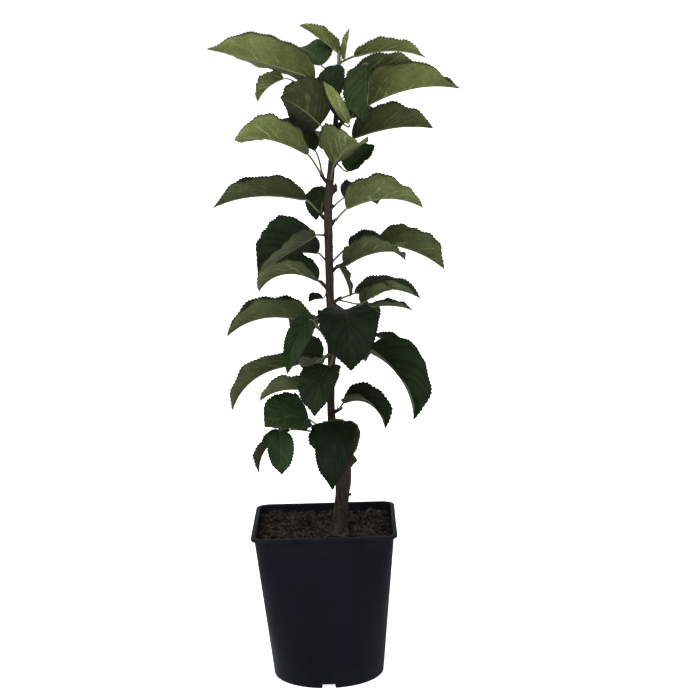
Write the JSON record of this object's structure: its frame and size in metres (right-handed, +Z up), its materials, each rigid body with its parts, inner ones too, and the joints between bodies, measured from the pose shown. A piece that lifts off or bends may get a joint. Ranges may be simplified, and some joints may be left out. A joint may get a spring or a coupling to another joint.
{
  "type": "dwarf apple tree in a pot",
  "caption": "Young dwarf apple tree: one upright stem with short leafy spurs from low down to its tip, growing in a tapered black nursery pot.",
  "frame": {"origin": "middle of the pot's foot, on the surface it stands on", "axes": "+Z up along the stem, -Y towards the viewer, +X to the viewer's right"},
  "size_m": [0.2717, 0.2008, 0.727],
  "materials": {
    "pot_plastic": "smooth injection-moulded black plastic with a soft sheen",
    "compost": "moist dark brown fibrous potting compost",
    "bark": "young grey-brown bark with pale pores and old bud rings",
    "foliage": "soft leaves, dark green and slightly glossy above, paler olive and downy below"
  },
  "bodies": {
    "root": {"pot": "pot_plastic", "soil": "compost", "trunk": "bark", "foliage_top": "foliage", "foliage_right_1": "foliage", "foliage_left_1": "foliage", "foliage_left_2": "foliage", "foliage_right_2": "foliage", "foliage_front_1": "foliage", "foliage_left_3": "foliage", "foliage_left_4": "foliage", "foliage_right_3": "foliage", "foliage_front_2": "foliage", "foliage_right_4": "foliage", "foliage_left_5": "foliage", "foliage_right_5": "foliage", "foliage_left_6": "foliage", "foliage_front_3": "foliage", "foliage_right_6": "foliage", "foliage_left_7": "foliage", "foliage_right_7": "foliage", "foliage_front_4": "foliage", "foliage_left_8": "foliage", "foliage_back_1": "foliage", "foliage_back_2": "foliage", "foliage_back_3": "foliage", "foliage_back_4": "foliage", "foliage_back_5": "foliage", "foliage_back_6": "foliage", "foliage_back_7": "foliage"}
  },
  "joints": []
}
